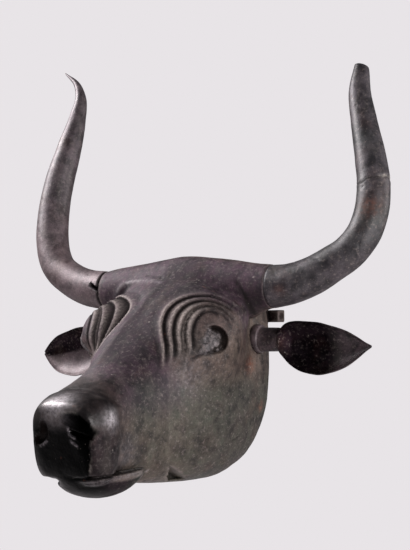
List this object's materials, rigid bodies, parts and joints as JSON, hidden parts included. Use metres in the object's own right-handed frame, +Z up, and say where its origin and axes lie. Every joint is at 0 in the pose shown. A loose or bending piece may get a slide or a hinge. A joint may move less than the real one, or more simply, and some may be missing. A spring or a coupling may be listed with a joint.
{
  "type": "bull head",
  "caption": "Bronze bull head with lyre-shaped horns, leaf-shaped ears and ringed brows, made to hang on a wall or post by the flat back of its neck.",
  "frame": {"origin": "on the flat back of the neck, where it lies against the wall, on the mid plane", "axes": "-Y the way the face looks, +Z up, +X the left side of the bull"},
  "size_m": [0.4249, 0.2637, 0.4572],
  "materials": {
    "bronze_head": "dark patinated bronze, purple-brown with grey-green cheeks and a polished near-black muzzle",
    "bronze_horns": "dark patinated bronze, smooth and slightly glossy",
    "bronze_ears": "dark patinated bronze, semi-matt"
  },
  "bodies": {
    "root": {"head": "bronze_head", "horn_left": "bronze_horns", "horn_right": "bronze_horns", "ear_left": "bronze_ears", "ear_right": "bronze_ears"}
  },
  "joints": []
}
